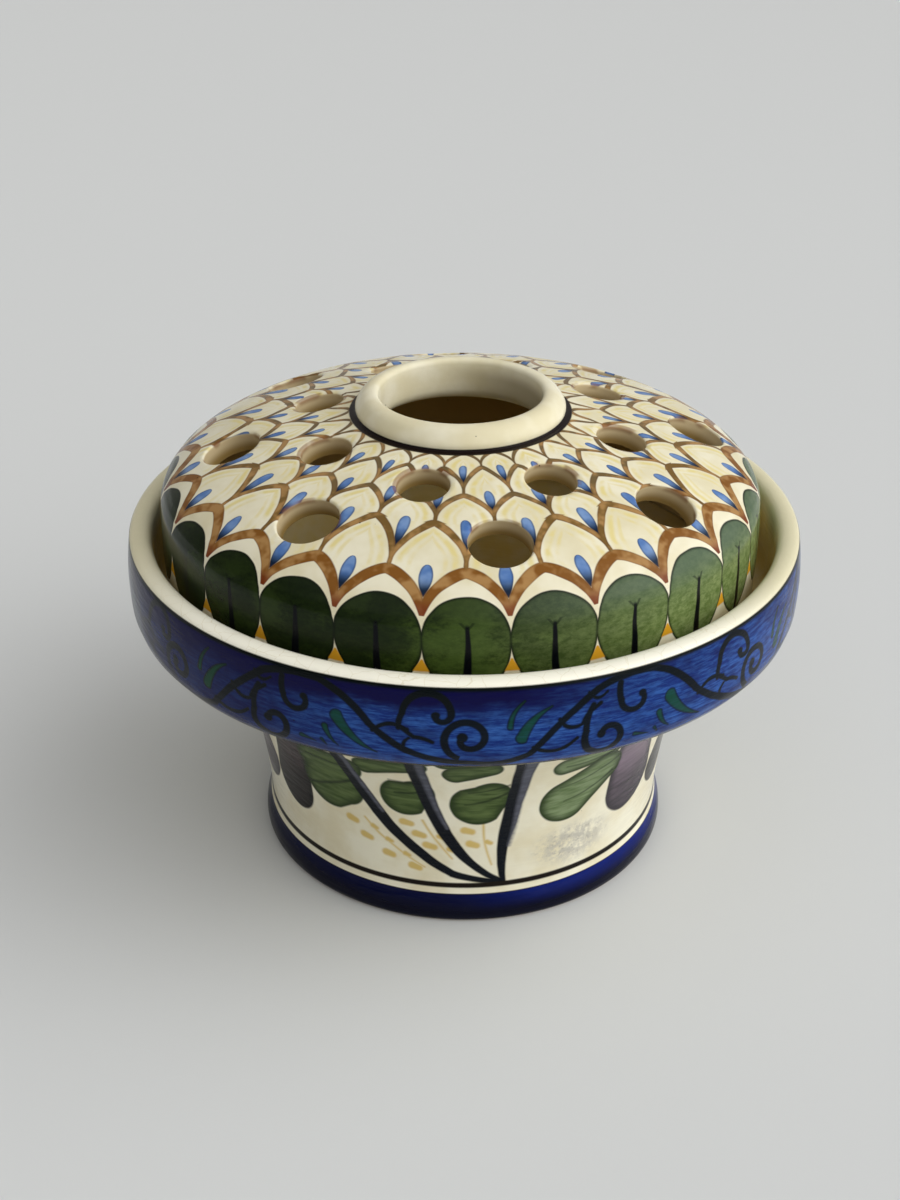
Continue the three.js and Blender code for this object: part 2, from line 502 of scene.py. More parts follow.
def brush_marks(place, size, drawn, detail, rough=0.55):
    """Noise that is drawn out round the piece, as a brush leaves it."""
    return grain(reckon_vector("MULTIPLY", place, (drawn, drawn, 1.0)), size, detail, rough)[0]


def new_group(name, inputs, outputs):
    """An empty node group with named sockets, as (group, its readings, its output's sockets)."""
    group = bpy.data.node_groups.new(name, "ShaderNodeTree")
    for way, sockets in (("INPUT", inputs), ("OUTPUT", outputs)):
        for socket_name, kind in sockets.items():
            group.interface.new_socket(socket_name, in_out=way, socket_type=kind)
    given = group.nodes.new("NodeGroupInput").outputs
    result = group.nodes.new("NodeGroupOutput").inputs
    return group, {socket_name: Reading(given[socket_name]) for socket_name in inputs}, result


def placed_group(group, **values):
    """A node of a group, with its inputs linked or set by name, as its readings by name."""
    node = add_node("Group", values, node_tree=group)
    return {output.name: Reading(output) for output in node.outputs}


def make_brush_stroke():
    """Group: one pull of the brush, bent to one side and fuller at one end or in the middle."""
    group, at, result = new_group(
        "brush_stroke",
        {"Point": ARROW, "Along": ARROW, "Across": ARROW, "Length": NUMBER, "Bend": NUMBER,
         "Root": NUMBER, "Spread": NUMBER, "Belly": NUMBER},
        {"Distance": NUMBER},
    )
    along = reckon_vector("DOT_PRODUCT", at["Point"], at["Along"], out="Value")
    aside = reckon_vector("DOT_PRODUCT", at["Point"], at["Across"], out="Value")
    share = held(along)
    arch = share * (1.0 - share)
    aside = times_plus(arch, at["Bend"], aside)
    past = (along - share) * at["Length"]
    gap = length_of(aside, past)
    width = times_plus(share, at["Spread"], at["Root"])
    width = times_plus(arch, at["Belly"], width)
    wire(gap - width, result["Distance"])
    return group


def make_brush_curl():
    """Group: a curl that winds in from its outer radius and ends in a blob of paint."""
    group, at, result = new_group(
        "brush_curl",
        {"Point": ARROW, "Centre": ARROW, "Start": NUMBER, "Way": NUMBER, "Radius": NUMBER,
         "Closing": NUMBER, "Turns": NUMBER, "Width": NUMBER, "End": ARROW, "Blob": NUMBER},
        {"Distance": NUMBER},
    )
    off = reckon_vector("SUBTRACT", at["Point"], at["Centre"])
    out = reckon_vector("LENGTH", off, out="Value")
    across, up, _ = parts_of(off)
    first = reckon("FRACT", (reckon("ARCTAN2", up, across) - at["Start"]) * at["Way"])
    gap = out - times_plus(first, at["Closing"], at["Radius"])
    again = gap - at["Closing"]
    late = first > at["Turns"]
    gap = times_plus(late, FAR_OFF, abs(gap))
    late = first + 1.0 > at["Turns"]
    again = times_plus(late, FAR_OFF, abs(again))
    gap = smaller(gap, again) - at["Width"]
    blob = reckon_vector("DISTANCE", at["Point"], at["End"], out="Value") - at["Blob"]
    wire(smaller(gap, blob), result["Distance"])
    return group


brush_stroke = make_brush_stroke()
brush_curl = make_brush_curl()


def stroke(point, root, tip, root_half, tip_half, bend=0.0, belly=0.0):
    """Distance from a stroke with half widths at its root and tip, bowed to its left by bend."""
    root, tip = Vector(root), Vector(tip)
    length = (tip - root).length
    along = (tip - root) / length
    across = Vector((-along.y, along.x))
    return placed_group(
        brush_stroke,
        Point=point,
        Along=(*(along / length), -along.dot(root) / length),
        Across=(*across, -across.dot(root)),
        Length=length,
        Bend=-4 * bend,
        Root=root_half,
        Spread=tip_half - root_half,
        Belly=4 * belly,
    )["Distance"]


def curl(point, centre, start, turns, radius, end_radius, half, blob):
    """Distance from a curl that starts at that angle in degrees; negative turns wind clockwise."""
    way = math.copysign(1, turns)
    last = math.radians(start) + turns * math.tau
    end = Vector(centre) + Vector((math.cos(last), math.sin(last))) * end_radius
    return placed_group(
        brush_curl,
        Point=point,
        Centre=(*centre, 1.0),
        Start=math.radians(start),
        Way=way / math.tau,
        Radius=radius,
        Closing=(end_radius - radius) / abs(turns),
        Turns=abs(turns),
        Width=half,
        End=(*end, 1.0),
        Blob=blob,
    )["Distance"]


def nearest(distances):
    """The least of several distances, so that several strokes count as one. Of strokes that are
    made one by one, each is taken in before the next is made, which keeps a long chain light."""
    return functools.reduce(smaller, distances)


def paint_on(ground, paint, distance, edge=None, edge_width=0.9, soft=0.18, cover=None):
    """Lays paint over the ground inside a stroke, with the darker rim that wet paint dries to."""
    if edge is not None:
        rim = ramp(distance, -edge_width, 0.0)
        paint = blend_paint(rim, paint, edge)
    inside = ramp(distance, soft, -soft)
    if cover is not None:
        inside = inside * cover
    return blend_paint(inside, ground, paint)


WOBBLE_WIDE = 23.0
WOBBLE_FINE = 4.5
FINE_SHARE = 0.16


def make_hand_wobble():
    """Group: how far the hand strays from a ruled line, as a shift in millimetres."""
    group, at, result = new_group(
        "hand_wobble", {"Place": ARROW, "Amount": NUMBER}, {"Shift": ARROW}
    )
    _, wide = grain(at["Place"], WOBBLE_WIDE, detail=1.0)
    _, fine = grain(at["Place"], WOBBLE_FINE, detail=0.0)
    both = reckon_vector("MULTIPLY_ADD", fine, (FINE_SHARE,) * 3, wide)
    centred = reckon_vector("SUBTRACT", both, ((1 + FINE_SHARE) / 2,) * 3)
    scaled = read_node("VectorMath", {0: centred, "Scale": at["Amount"]}, operation="SCALE")
    wire(scaled, result["Shift"])
    return group


SPECK_SPACING = 4.2
SPECK_SIZE = 0.075
CRAZE_SPACING = 5.0
CRAZE_STRAY = 1.6
POOL_SIZE = 14.0
RIPPLE_SIZE = 16.0
RIPPLE_DRAWN = (1.0, 1.0, 2.2)


def make_glaze_flaws():
    """Group: what fired glaze shows close up: iron specks, craze lines, pooling and ripples."""
    group, at, result = new_group(
        "glaze_flaws",
        {"Place": ARROW},
        {"Specks": NUMBER, "Crazing": NUMBER, "Pooling": NUMBER, "Ripple": NUMBER},
    )
    place = at["Place"]
    dots = add_node("TexVoronoi", {"Vector": place, "Scale": 1 / SPECK_SPACING})
    chosen = parts_of(Reading(dots.outputs["Color"]))[0]
    size = ramp(chosen, 0.90, 1.0, smooth=False) * SPECK_SIZE
    spot = Reading(dots.outputs["Distance"]) - size
    wire(ramp(spot, 0.012, -0.012), result["Specks"])
    scale = {"Scale": 1 / CRAZE_SPACING}
    cracks = add_node("TexVoronoi", scale, tree=group, feature="DISTANCE_TO_EDGE")
    strayed = reckon_vector("MULTIPLY_ADD", grain(place, 3.0)[1], (CRAZE_STRAY,) * 3, place)
    wire(strayed, cracks.inputs["Vector"])
    wire(ramp(Reading(cracks.outputs["Distance"]), 0.022, 0.004), result["Crazing"])
    wire(ramp(grain(place, POOL_SIZE, detail=3.0)[0], 0.35, 0.68), result["Pooling"])
    flattened = reckon_vector("MULTIPLY", place, RIPPLE_DRAWN)
    wire(grain(flattened, RIPPLE_SIZE, detail=1.5)[0], result["Ripple"])
    return group


hand_wobble = make_hand_wobble()
glaze_flaws = make_glaze_flaws()


def measured_place(tree, axis_x=0.0):
    """The point on the surface in millimetres from a piece's axis, with its parts and its angle."""
    surface = Reading(tree.nodes.new("ShaderNodeTexCoord").outputs["Object"])
    shifted = reckon_vector("SUBTRACT", surface, (axis_x * MM, 0, 0))
    place = reckon_vector("DIVIDE", shifted, (MM, MM, MM))
    across, back, height = parts_of(place)
    degrees = reckon("ARCTAN2", back, across) * math.degrees(1)
    return place, (across, back, height), degrees


def kept_measure(tree, name):
    """A number that was stored on the piece's vertices."""
    node = tree.nodes.new("ShaderNodeAttribute")
    node.attribute_name = name
    return Reading(node.outputs["Fac"])


def repeat_field(degrees, first, period, mm_per_degree, height, shift):
    """The painted field as a point (across, up, 1), repeated every so many degrees."""
    turn = (degrees - first) % period
    stray_across, stray_up, _ = parts_of(shift)
    across = times_plus(turn, mm_per_degree, stray_across)
    return read_node("CombineXYZ", {0: across, 1: height + stray_up, 2: 1.0})


GLAZE_IOR = 1.5
GLAZE_SHINE = 0.12
GLAZE_ROUGH = 0.14
POOLED_ROUGH = 0.1
RELIEF_STRENGTH = 0.35
RELIEF_HIGH = 0.6 * MM
BRUSH_RELIEF = 0.25
SPECK_STRENGTH = 0.75


def fire_glaze(tree, colour, flaws, relief):
    """The clear glossy glaze over the paint, with its fine specks and its uneven surface."""
    colour = blend_paint(flaws["Specks"] * SPECK_STRENGTH, colour, LINE_BROWN)
    roughness = times_plus(flaws["Pooling"], POOLED_ROUGH, GLAZE_ROUGH)
    looks = {"Base Color": colour, "Roughness": roughness, "IOR": GLAZE_IOR,
             "Specular IOR Level": GLAZE_SHINE}
    glass = add_node("BsdfPrincipled", looks)
    strength = {"Strength": RELIEF_STRENGTH, "Distance": RELIEF_HIGH}
    bump = add_node("Bump", strength, tree=tree)
    wire(times_plus(relief, BRUSH_RELIEF, flaws["Ripple"]), bump.inputs["Height"])
    wire(Reading(bump.outputs[0]), glass.inputs["Normal"])
    wire(Reading(glass.outputs[0]), tree.nodes["Material Output"].inputs[0])


# Colours of the fired paints, and of the light and shade painted on them
CREAM = pigment(240, 235, 212)
CREAM_SHADE = pigment(228, 219, 188)
INNER_SHADED_CREAM = pigment(226, 201, 124)
RIM_LIT_CREAM = pigment(252, 249, 232)
RIM_SHADED_BEIGE = pigment(222, 215, 182)
BARE_CLAY = pigment(206, 178, 140)
COBALT = pigment(14, 42, 112)
COBALT_PALE = pigment(48, 92, 164)
DEEP_COBALT = pigment(7, 18, 74)
NAVY = pigment(3, 2, 60)
BASE_NAVY = pigment(1, 2, 26)
BASE_BLUE = pigment(4, 28, 112)
SCROLL = pigment(2, 9, 8)
DARK_GREEN = pigment(9, 66, 29)
LINE_BROWN = pigment(22, 15, 9)
LEAF = pigment(58, 76, 36)
LEAF_PALE = pigment(92, 110, 62)
LEAF_RIM = pigment(40, 56, 24)
LEAF_VEIN = pigment(22, 34, 16)
FADED_LEAF = pigment(90, 110, 68)
FADED_LEAF_PALE = pigment(128, 145, 106)
PETAL = pigment(70, 58, 60)
PETAL_DARK = pigment(14, 12, 10)
LILAC = pigment(130, 113, 127)
LILAC_DARK = pigment(50, 46, 52)
STEM_SLATE = pigment(96, 98, 110)
STEM_DARK = pigment(7, 13, 22)
OCHRE = pigment(208, 176, 84)
WORN_GREY = pigment(188, 184, 172)
WORN_DARK = pigment(150, 142, 124)

# The scroll on the band: a running wave with curls and leaves, seven times round. Distances
# are millimetres along the band from the crest of a wave, and heights are above the table.
WAVES = 7
WAVE_TURN = 360 / WAVES
FIRST_CREST = -112.0
BAND_MM_PER_DEGREE = math.radians(BAND_R)
WAVE = WAVE_TURN * BAND_MM_PER_DEGREE
WAVE_STEM = (
    ((0.0, 98.6), (13.6, 88.8), 1.0, 1.1, 1.3),
    ((13.6, 88.8), (40.0, 77.9), 1.1, 1.05, -2.9),
    ((40.0, 77.9), (53.4, 80.9), 1.05, 0.95, -1.3),
    ((53.4, 80.9), (70.6, 96.6), 0.95, 1.05, 0.85),
    ((70.6, 96.6), (WAVE, 98.6), 1.05, 1.0, 1.2),
    ((21.4, 88.6), (22.2, 92.8), 0.8, 0.9, 0.3),
    ((14.6, 86.8), (23.5, 88.2), 0.65, 0.7, 1.9),
    ((21.5, 89.2), (25.2, 86.1), 0.7, 0.65, 0.0),
    ((25.2, 86.1), (29.7, 84.7), 0.65, 0.6, 0.3),
    ((23.0, 81.6), (24.0, 85.6), 0.6, 0.5, 0.9),
    ((54.2, 82.7), (65.3, 83.8), 0.7, 0.6, -2.2),
    ((60.8, 89.9), (67.0, 87.8), 0.65, 0.6, -1.6),
    ((66.8, 88.0), (69.0, 91.1), 0.65, 0.7, 0.3),
    ((69.0, 91.1), (71.3, 92.6), 0.7, 0.6, 0.0),
    ((68.3, 96.0), (73.0, 95.3), 0.55, 0.5, -1.5),
    ((69.4, 92.4), (67.6, 86.0), 0.8, 0.95, -0.5),
    ((76.6, 97.0), (76.8, 92.0), 0.85, 0.95, -0.3),
)
WAVE_CURLS = (
    {"centre": (28.2, 92.6), "start": 180, "turns": -0.5, "radius": 6.0, "end_radius": 5.9,
     "half": 0.95, "blob": 0.95},
    {"centre": (32.0, 92.6), "start": 0, "turns": -0.5, "radius": 2.1, "end_radius": 1.6,
     "half": 0.9, "blob": 1.15},
    {"centre": (38.3, 85.8), "start": 250, "turns": -1.25, "radius": 6.6, "end_radius": 1.6,
     "half": 1.0, "blob": 1.4},
    {"centre": (73.4, 82.6), "start": 150, "turns": 1.0, "radius": 6.4, "end_radius": 1.9,
     "half": 1.0, "blob": 1.3},
    {"centre": (80.6, 91.6), "start": 165, "turns": 0.62, "radius": 3.8, "end_radius": 2.3,
     "half": 0.9, "blob": 1.1},
)
WAVE_LEAVES = (
    ((5.2, 89.5), (15.5, 80.2), 2.0, 0.3, -1.2),
    ((2.0, 85.5), (5.4, 80.4), 1.1, 0.3, -0.6),
    ((0.9, 81.2), (2.0, 79.6), 0.6, 0.3, 0.0),
    ((81.5, 80.8), (85.5, 79.9), 0.8, 0.2, 0.0),
    ((48.3, 89.2), (52.0, 96.1), 1.0, 0.4, 0.8),
    ((51.2, 85.8), (58.7, 94.0), 1.8, 0.4, 1.2),
)

# The spray on the foot, three times round: three stems that spring from one point, lobed
# leaves, dark petals and little strings of berries.
SPRAYS = 3
SPRAY_TURN = 360 / SPRAYS
SPRAY_START = -150.0
FOOT_MM_PER_DEGREE = 1.08
SPRAY_HALF = SPRAY_TURN * FOOT_MM_PER_DEGREE / 2
SPRAY_STEMS = (
    ((-36.5, 67.0), (-23.9, 36.4), 2.5, 2.2, -1.2),
    ((-23.9, 36.4), (-3.1, 15.8), 2.2, 1.35, -1.7),
    ((-3.1, 15.8), (12.2, 12.6), 1.35, 0.8, -0.6),
    ((-12.4, 67.0), (-5.4, 31.8), 2.6, 2.1, -1.8),
    ((-5.4, 31.8), (6.2, 16.4), 2.1, 1.2, -1.15),
    ((6.2, 16.4), (12.2, 12.6), 1.2, 0.8, -0.3),
    ((16.2, 68.0), (12.8, 34.0), 3.0, 2.2, 0.5),
    ((12.8, 34.0), (12.2, 12.6), 2.2, 0.9, -0.9),
)
STEM_LIGHTS = (
    ((-35.2, 67.0), (-22.6, 36.9), 1.2, 0.5, -1.2),
    ((-11.2, 67.0), (-4.4, 33.0), 1.3, 0.5, -1.8),
    ((17.4, 68.0), (13.6, 26.0), 1.7, 0.5, 0.5),
)
UPPER_LOBES = (
    ((-32.0, 61.0), (-43.0, 58.5), 4.0, 4.6),
    ((-10.0, 62.0), (-23.0, 61.0), 3.4, 4.0),
    ((-11.0, 57.6), (-25.4, 54.4), 2.2, 3.3),
    ((8.0, 63.0), (-4.0, 62.0), 3.6, 4.0),
    ((7.0, 57.6), (-1.8, 55.4), 3.0, 3.6),
    ((40.0, 60.5), (27.0, 61.0), 3.8, 4.4),
    ((41.0, 54.4), (26.6, 53.4), 3.4, 3.5),
)
MAIN_LOBES = (
    ((-31.0, 51.0), (-42.6, 48.6), 4.4, 6.2),
    ((-35.0, 42.6), (-39.4, 41.0), 7.6, 9.0),
    ((-12.6, 46.0), (-15.4, 44.1), 5.2, 7.2),
    ((7.0, 44.8), (4.3, 42.5), 6.4, 8.0),
    ((40.0, 46.4), (29.6, 38.8), 6.4, 8.2),
)
LEAF_VEINS = (
    ((-29.9, 46.4), (-46.8, 38.0), 0.5, 0.5, 0.8),
    ((-9.6, 47.6), (-18.4, 45.4), 0.5, 0.25, 0.5),
    ((12.0, 46.2), (0.6, 42.4), 0.5, 0.2, 0.7),
    ((44.0, 44.0), (28.8, 38.6), 0.5, 0.15, 1.0),
    ((-30.0, 51.6), (-46.0, 50.2), 0.4, 0.2, 0.5),
    ((-9.6, 51.0), (-19.4, 50.4), 0.35, 0.15, 0.4),
    ((12.0, 49.6), (1.4, 47.2), 0.35, 0.15, 0.5),
    ((44.0, 48.6), (26.8, 44.4), 0.35, 0.1, 0.8),
    ((42.0, 53.0), (27.0, 53.0), 0.4, 0.15, 0.5),
)
DARK_PETAL = ((-50.6, 60.0), (-56.0, 32.4), 5.2, 8.8)
PALE_PETAL = ((50.4, 60.0), (54.4, 34.4), 6.6, 10.2)
BERRY_STALKS = (
    ((-28.5, 32.4), (-11.2, 17.5), 0.35, 0.25, -1.0),
    ((-11.2, 35.3), (-3.1, 21.5), 0.35, 0.25, -0.6),
    ((5.9, 34.7), (8.7, 19.2), 0.35, 0.25, -0.7),
)
BERRIES = (
    (-32.6, 30.2), (-28.4, 25.4), (-21.8, 20.6), (-13.8, 17.2), (-15.6, 33.8),
    (-12.2, 29.6), (-9.4, 25.6), (1.6, 32.0), (3.0, 27.0),
)
BERRY_DROPS = ((-25.6, 30.0), (-21.4, 26.0), (-16.2, 21.6), (-6.2, 29.6), (-3.4, 25.0), (7.6, 28.0))

# Heights of the painted rings on the bowl
BASE_BLUE_TOP = 9.0
BASE_LINE_Z = 11.7
BASE_LINE_HALF = 0.85
BAND_PAINT_LOW = 75.6
BAND_PAINT_TOP = 99.9
RIM_CREST_R = 92.4

# Where the foot's glaze is rubbed and grey: its middle as (angle, height), and how far it reaches
WORN_MIDDLE = (-58.5, 21.5)
WORN_REACH = (15.0, 8.5)

# Where the paint changes its tone, as pairs of where a change begins and where it is complete:
# turns about the axis in degrees, counted from the right with the front at -90, heights above
# the table, distances from the axis, depths under the painted outline, or places in the spray
BASE_LIT_TURNS = (-98.0, -58.0)
BASE_THIN_HEIGHTS = (3.2, 9.0)
BAND_HEAVY_TURNS = ((-62.0, -84.0), (20.0, 60.0))
BAND_HEAVY_HEIGHTS = (92.0, 97.5)
BAND_SHADED_TURNS = ((-102.0, -128.0), (120.0, 150.0))
BAND_TOP_LINE = (BAND_PAINT_TOP - 1.6, BAND_PAINT_TOP - 0.5)
BAND_LOW_LINE = (BAND_PAINT_LOW + 1.3, BAND_PAINT_LOW + 0.5)
RIM_SHADED_BEIGE_TURNS = ((-58.0, -24.0), (-130.0, -168.0))
RIM_INNER_HEIGHTS = (84.0, 86.0)
RIM_INNER_RADII = (RIM_CREST_R + 0.4, RIM_CREST_R - 0.4)
INNER_DEPTHS = (0.3, 6.0)
BARE_HEIGHTS = (0.5, 0.2)
PETAL_DARK_HEIGHTS = (47.0, 33.0)
FADED_LEAVES_ACROSS = (14.0, 24.0)
EDGE_SOFT = 0.2
PETAL_STREAKED = 0.3


def paint_scroll(ground, field):
    """The dark scroll and its green leaves on the blue band."""
    leaves = nearest([stroke(field, *leaf) for leaf in WAVE_LEAVES])
    ground = paint_on(ground, DARK_GREEN, leaves, edge=SCROLL, soft=0.25, cover=0.86)
    stems = (stroke(field, *stem) for stem in WAVE_STEM)
    curls = (curl(field, **winding) for winding in WAVE_CURLS)
    return paint_on(ground, SCROLL, nearest(itertools.chain(stems, curls)), soft=0.3, cover=0.97)


def berry_strokes(field):
    """The berries, the drops between them and the stalks that carry them."""
    for across, up in BERRIES:
        left, right = (across - 1.0, up + 0.3), (across + 1.0, up - 0.3)
        yield stroke(field, left, right, root_half=1.3, tip_half=1.1)
    for across, up in BERRY_DROPS:
        left, right = (across - 0.6, up), (across + 0.6, up - 0.6)
        yield stroke(field, left, right, root_half=0.9, tip_half=0.7)
    for stalk in BERRY_STALKS:
        yield stroke(field, *stalk)


def paint_spray(ground, field, streaks):
    """The spray of stems, leaves, petals and berries on the foot."""
    ground = paint_on(ground, OCHRE, nearest(berry_strokes(field)), soft=0.55, cover=0.85)
    across, up, _ = parts_of(field)
    low = ramp(up, *PETAL_DARK_HEIGHTS)
    for petal, light, dark, edge_width in (
        (DARK_PETAL, PETAL, PETAL_DARK, 3.2),
        (PALE_PETAL, LILAC, LILAC_DARK, 3.6),
    ):
        shade = times_plus(low, 1 - PETAL_STREAKED, streaks * PETAL_STREAKED)
        tone = blend_paint(shade, light, dark)
        petal = stroke(field, *petal)
        ground = paint_on(ground, tone, petal, edge=dark, edge_width=edge_width, soft=0.4)
    faded = ramp(across, *FADED_LEAVES_ACROSS)
    leaf = blend_paint(streaks, LEAF_PALE, LEAF)
    leaf = blend_paint(faded, leaf, blend_paint(streaks, FADED_LEAF_PALE, FADED_LEAF))
    for group, edge_width in ((UPPER_LOBES, 2.4), (MAIN_LOBES, 3.4)):
        lobes = nearest([stroke(field, *lobe) for lobe in group])
        ground = paint_on(ground, leaf, lobes, edge=LEAF_RIM, edge_width=edge_width, soft=0.35)
    veins = nearest([stroke(field, *vein) for vein in LEAF_VEINS])
    ground = paint_on(ground, LEAF_VEIN, veins, soft=0.45, cover=0.75)
    stems = nearest([stroke(field, *stem) for stem in SPRAY_STEMS])
    ground = paint_on(ground, STEM_DARK, stems, soft=0.35)
    lights = nearest([stroke(field, *light) for light in STEM_LIGHTS])
    shine = times_plus(streaks, 0.35, 0.6)
    return blend_paint(ramp(lights, 0.7, -0.7) * shine, ground, STEM_SLATE)


def rub_glaze(ground, degrees, height, place):
    """The patch of the foot where the glaze is rubbed grey and speckled."""
    across = (degrees - WORN_MIDDLE[0]) * (FOOT_MM_PER_DEGREE / WORN_REACH[0])
    up = (height - WORN_MIDDLE[1]) / WORN_REACH[1]
    out = length_of(across, up)
    blotches, _ = grain(place, 3.2, detail=3.0, rough=0.7)
    rubbed = ramp(out, 1.15, 0.35) * ramp(blotches, 0.32, 0.6)
    ground = blend_paint(rubbed * 0.85, ground, WORN_GREY)
    fine, _ = grain(place, 0.9)
    return blend_paint(rubbed * ramp(fine, 0.55, 0.66) * 0.4, ground, WORN_DARK)


def paint_foot(ground, field, degrees, height, place, streaks):
    """The foot: the spray, the rubbed patch, a brown line and the dark blue base."""
    foot = paint_spray(ground, field, streaks)
    foot = rub_glaze(foot, degrees, height, place)
    line = abs(height - BASE_LINE_Z) - BASE_LINE_HALF
    foot = paint_on(foot, LINE_BROWN, line, soft=0.3)
    base = height - BASE_BLUE_TOP
    # Painted light: the base's blue is paler on its right, the window side, and paler towards its
    # top
    lit = ramp(degrees, *BASE_LIT_TURNS)
    thin_and_lit = ramp(height, *BASE_THIN_HEIGHTS) * times_plus(streaks, 0.2, 0.8)
    thin_and_lit = thin_and_lit * times_plus(lit, 0.82, 0.18)
    base_blue = blend_paint(thin_and_lit, BASE_NAVY, BASE_BLUE)
    return paint_on(foot, base_blue, base, edge=BASE_NAVY, edge_width=0.5)


def paint_band(field, degrees, height, place, flaws):
    """The band: streaky blue, heavier at the top and to both sides, with the scroll on it."""
    brushed = brush_marks(place, 0.8, drawn=0.13, detail=4.0, rough=0.7)
    blue = blend_paint(ramp(brushed, 0.36, 0.68), COBALT, COBALT_PALE)
    thick = brush_marks(place, 7.0, drawn=0.6, detail=3.0, rough=0.65)
    blue = blend_paint(ramp(thick, 0.45, 0.7) * 0.55, blue, DEEP_COBALT)
    uneven = times_plus(flaws["Pooling"], 2.5, height)
    heavy = on_sides(degrees, BAND_HEAVY_TURNS)
    wash = ramp(uneven, *BAND_HEAVY_HEIGHTS) * times_plus(heavy, 0.65, 0.35)
    blue = blend_paint(wash, blue, NAVY)
    blue = blend_paint(on_sides(degrees, BAND_SHADED_TURNS) * 0.8, blue, NAVY)
    band = paint_scroll(blue, field)
    for line in (BAND_TOP_LINE, BAND_LOW_LINE):
        band = blend_paint(ramp(height, *line), band, SCROLL)
    return band


def bowl_glaze():
    """The bowl's painted glaze, from the foot up."""
    material = new_material("bowl_glaze")
    tree = material.node_tree
    place, (across, back, height), degrees = measured_place(tree)
    shift = placed_group(hand_wobble, Place=place, Amount=1.5)["Shift"]
    flaws = placed_group(glaze_flaws, Place=place)
    streaks = ramp(brush_marks(place, 1.3, drawn=0.16, detail=3.0), 0.30, 0.72)
    ground = blend_paint(flaws["Pooling"], CREAM, CREAM_SHADE)
    field = repeat_field(degrees, SPRAY_START, SPRAY_TURN, FOOT_MM_PER_DEGREE, height, shift)
    field = reckon_vector("SUBTRACT", field, (SPRAY_HALF, 0, 0))
    foot = paint_foot(ground, field, degrees, height, place, streaks)
    field = repeat_field(degrees, FIRST_CREST, WAVE_TURN, BAND_MM_PER_DEGREE, height, shift)
    band = paint_band(field, degrees, height, place, flaws)
    above = ramp(height, BAND_PAINT_LOW - EDGE_SOFT, BAND_PAINT_LOW + EDGE_SOFT)
    colour = blend_paint(above, foot, band)
    # Painted light and shade: the rim is a near-white cream at its front, where it catches the
    # light, and a shaded beige from its right round the back to its left
    rim = blend_paint(on_sides(degrees, RIM_SHADED_BEIGE_TURNS), RIM_LIT_CREAM, RIM_SHADED_BEIGE)
    rim = blend_paint(flaws["Crazing"] * 0.5, rim, CREAM_SHADE)
    radius = length_of(across, back)
    inward = ramp(radius, *RIM_INNER_RADII) * ramp(height, *RIM_INNER_HEIGHTS)
    above = ramp(height, BAND_PAINT_TOP - EDGE_SOFT, BAND_PAINT_TOP + EDGE_SOFT)
    colour = blend_paint(larger(above, inward), colour, rim)
    # Painted shade: away from the outside surface, over the inside of the well and the underside,
    # the glaze is painted a darker, yellower cream for the warm shade in there
    inner = ramp(kept_measure(tree, "depth"), *INNER_DEPTHS)
    inner_shade_tone = blend_paint(flaws["Pooling"] * 0.4, INNER_SHADED_CREAM, CREAM_SHADE)
    colour = blend_paint(inner, colour, inner_shade_tone)
    colour = blend_paint(ramp(height, *BARE_HEIGHTS), colour, BARE_CLAY)
    fire_glaze(tree, colour, flaws, streaks)
    return material


bowl.data.materials.append(bowl_glaze())
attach(bowl, "bowl")
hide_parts("footed_bowl")


# The lid is one thrown dome with a rolled collar. While the clay was leather-hard, two rings of
# stem holes were punched through it, square to its surface, and their edges wiped round. It
# rests loose on the shoulder inside the bowl.
lid_low, lid_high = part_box("pierced_lid")
LID_AXIS_X = (lid_low.x + lid_high.x) / 2 / MM
LID_SEAT_Z = lid_low.z / MM
COLLAR_TOP_Z = lid_high.z / MM
LID_R = 84.8
LID_WALL = 6.0
SKIRT_WIDEST_Z = 96.0
DOME_SPRING_Z = 106.1
DOME_RISE = 30.5
DOME_POWER = 0.38
DOME_STEPS = 14
INNER_SPRING_Z = 104.0
INNER_RISE = 26.6
INNER_TOP_R = 34.0
INNER_STEPS = 8
COLLAR_FOOT_R = 30.4
COLLAR_R = 29.5
COLLAR_CREST_R = 24.6
MOUTH_R = 22.8
MOUTH_FOOT_Z = 126.4
RING_HOLES = 8
# One hole of the outer ring, counted from its first, was punched a little out of its place
HOLE_RINGS = (
    {"ring_r": 66.0, "hole_r": 8.2, "first_angle": 6.9, "stray": 6},
    {"ring_r": 43.8, "hole_r": 6.9, "first_angle": 29.9, "stray": None},
)
RING_CENTRE = Vector((1.9, -0.5))
STRAY = Vector((0.4, 1.5))
HOLE_LIP = 1.0
DOME_SAG = 0.3
SLOPE_STEP = 0.1
PUNCH_REACH = 12.0
PUNCH_FLARE = 3 * HOLE_LIP
PUNCH_FLARE_Z = 0.6
PUNCH_STEPS = 72


def dome_height(r, radius=LID_R, spring_z=DOME_SPRING_Z, rise=DOME_RISE):
    """Height of the dome at a distance from its axis."""
    return spring_z + rise * (1 - min(r / radius, 1.0)) ** DOME_POWER


def dome_stretches(radius, spring_z, rise, top_r, steps):
    """Short straight stretches from a dome's spring line up to a distance from its axis."""
    last = math.asin(math.sqrt(top_r / radius))
    turns = [math.pi / 2 + (last - math.pi / 2) * (i + 1) / steps for i in range(steps)]
    distances = [radius * math.sin(turn) ** 2 for turn in turns]
    return [(None, (r, dome_height(r, radius, spring_z, rise))) for r in distances]


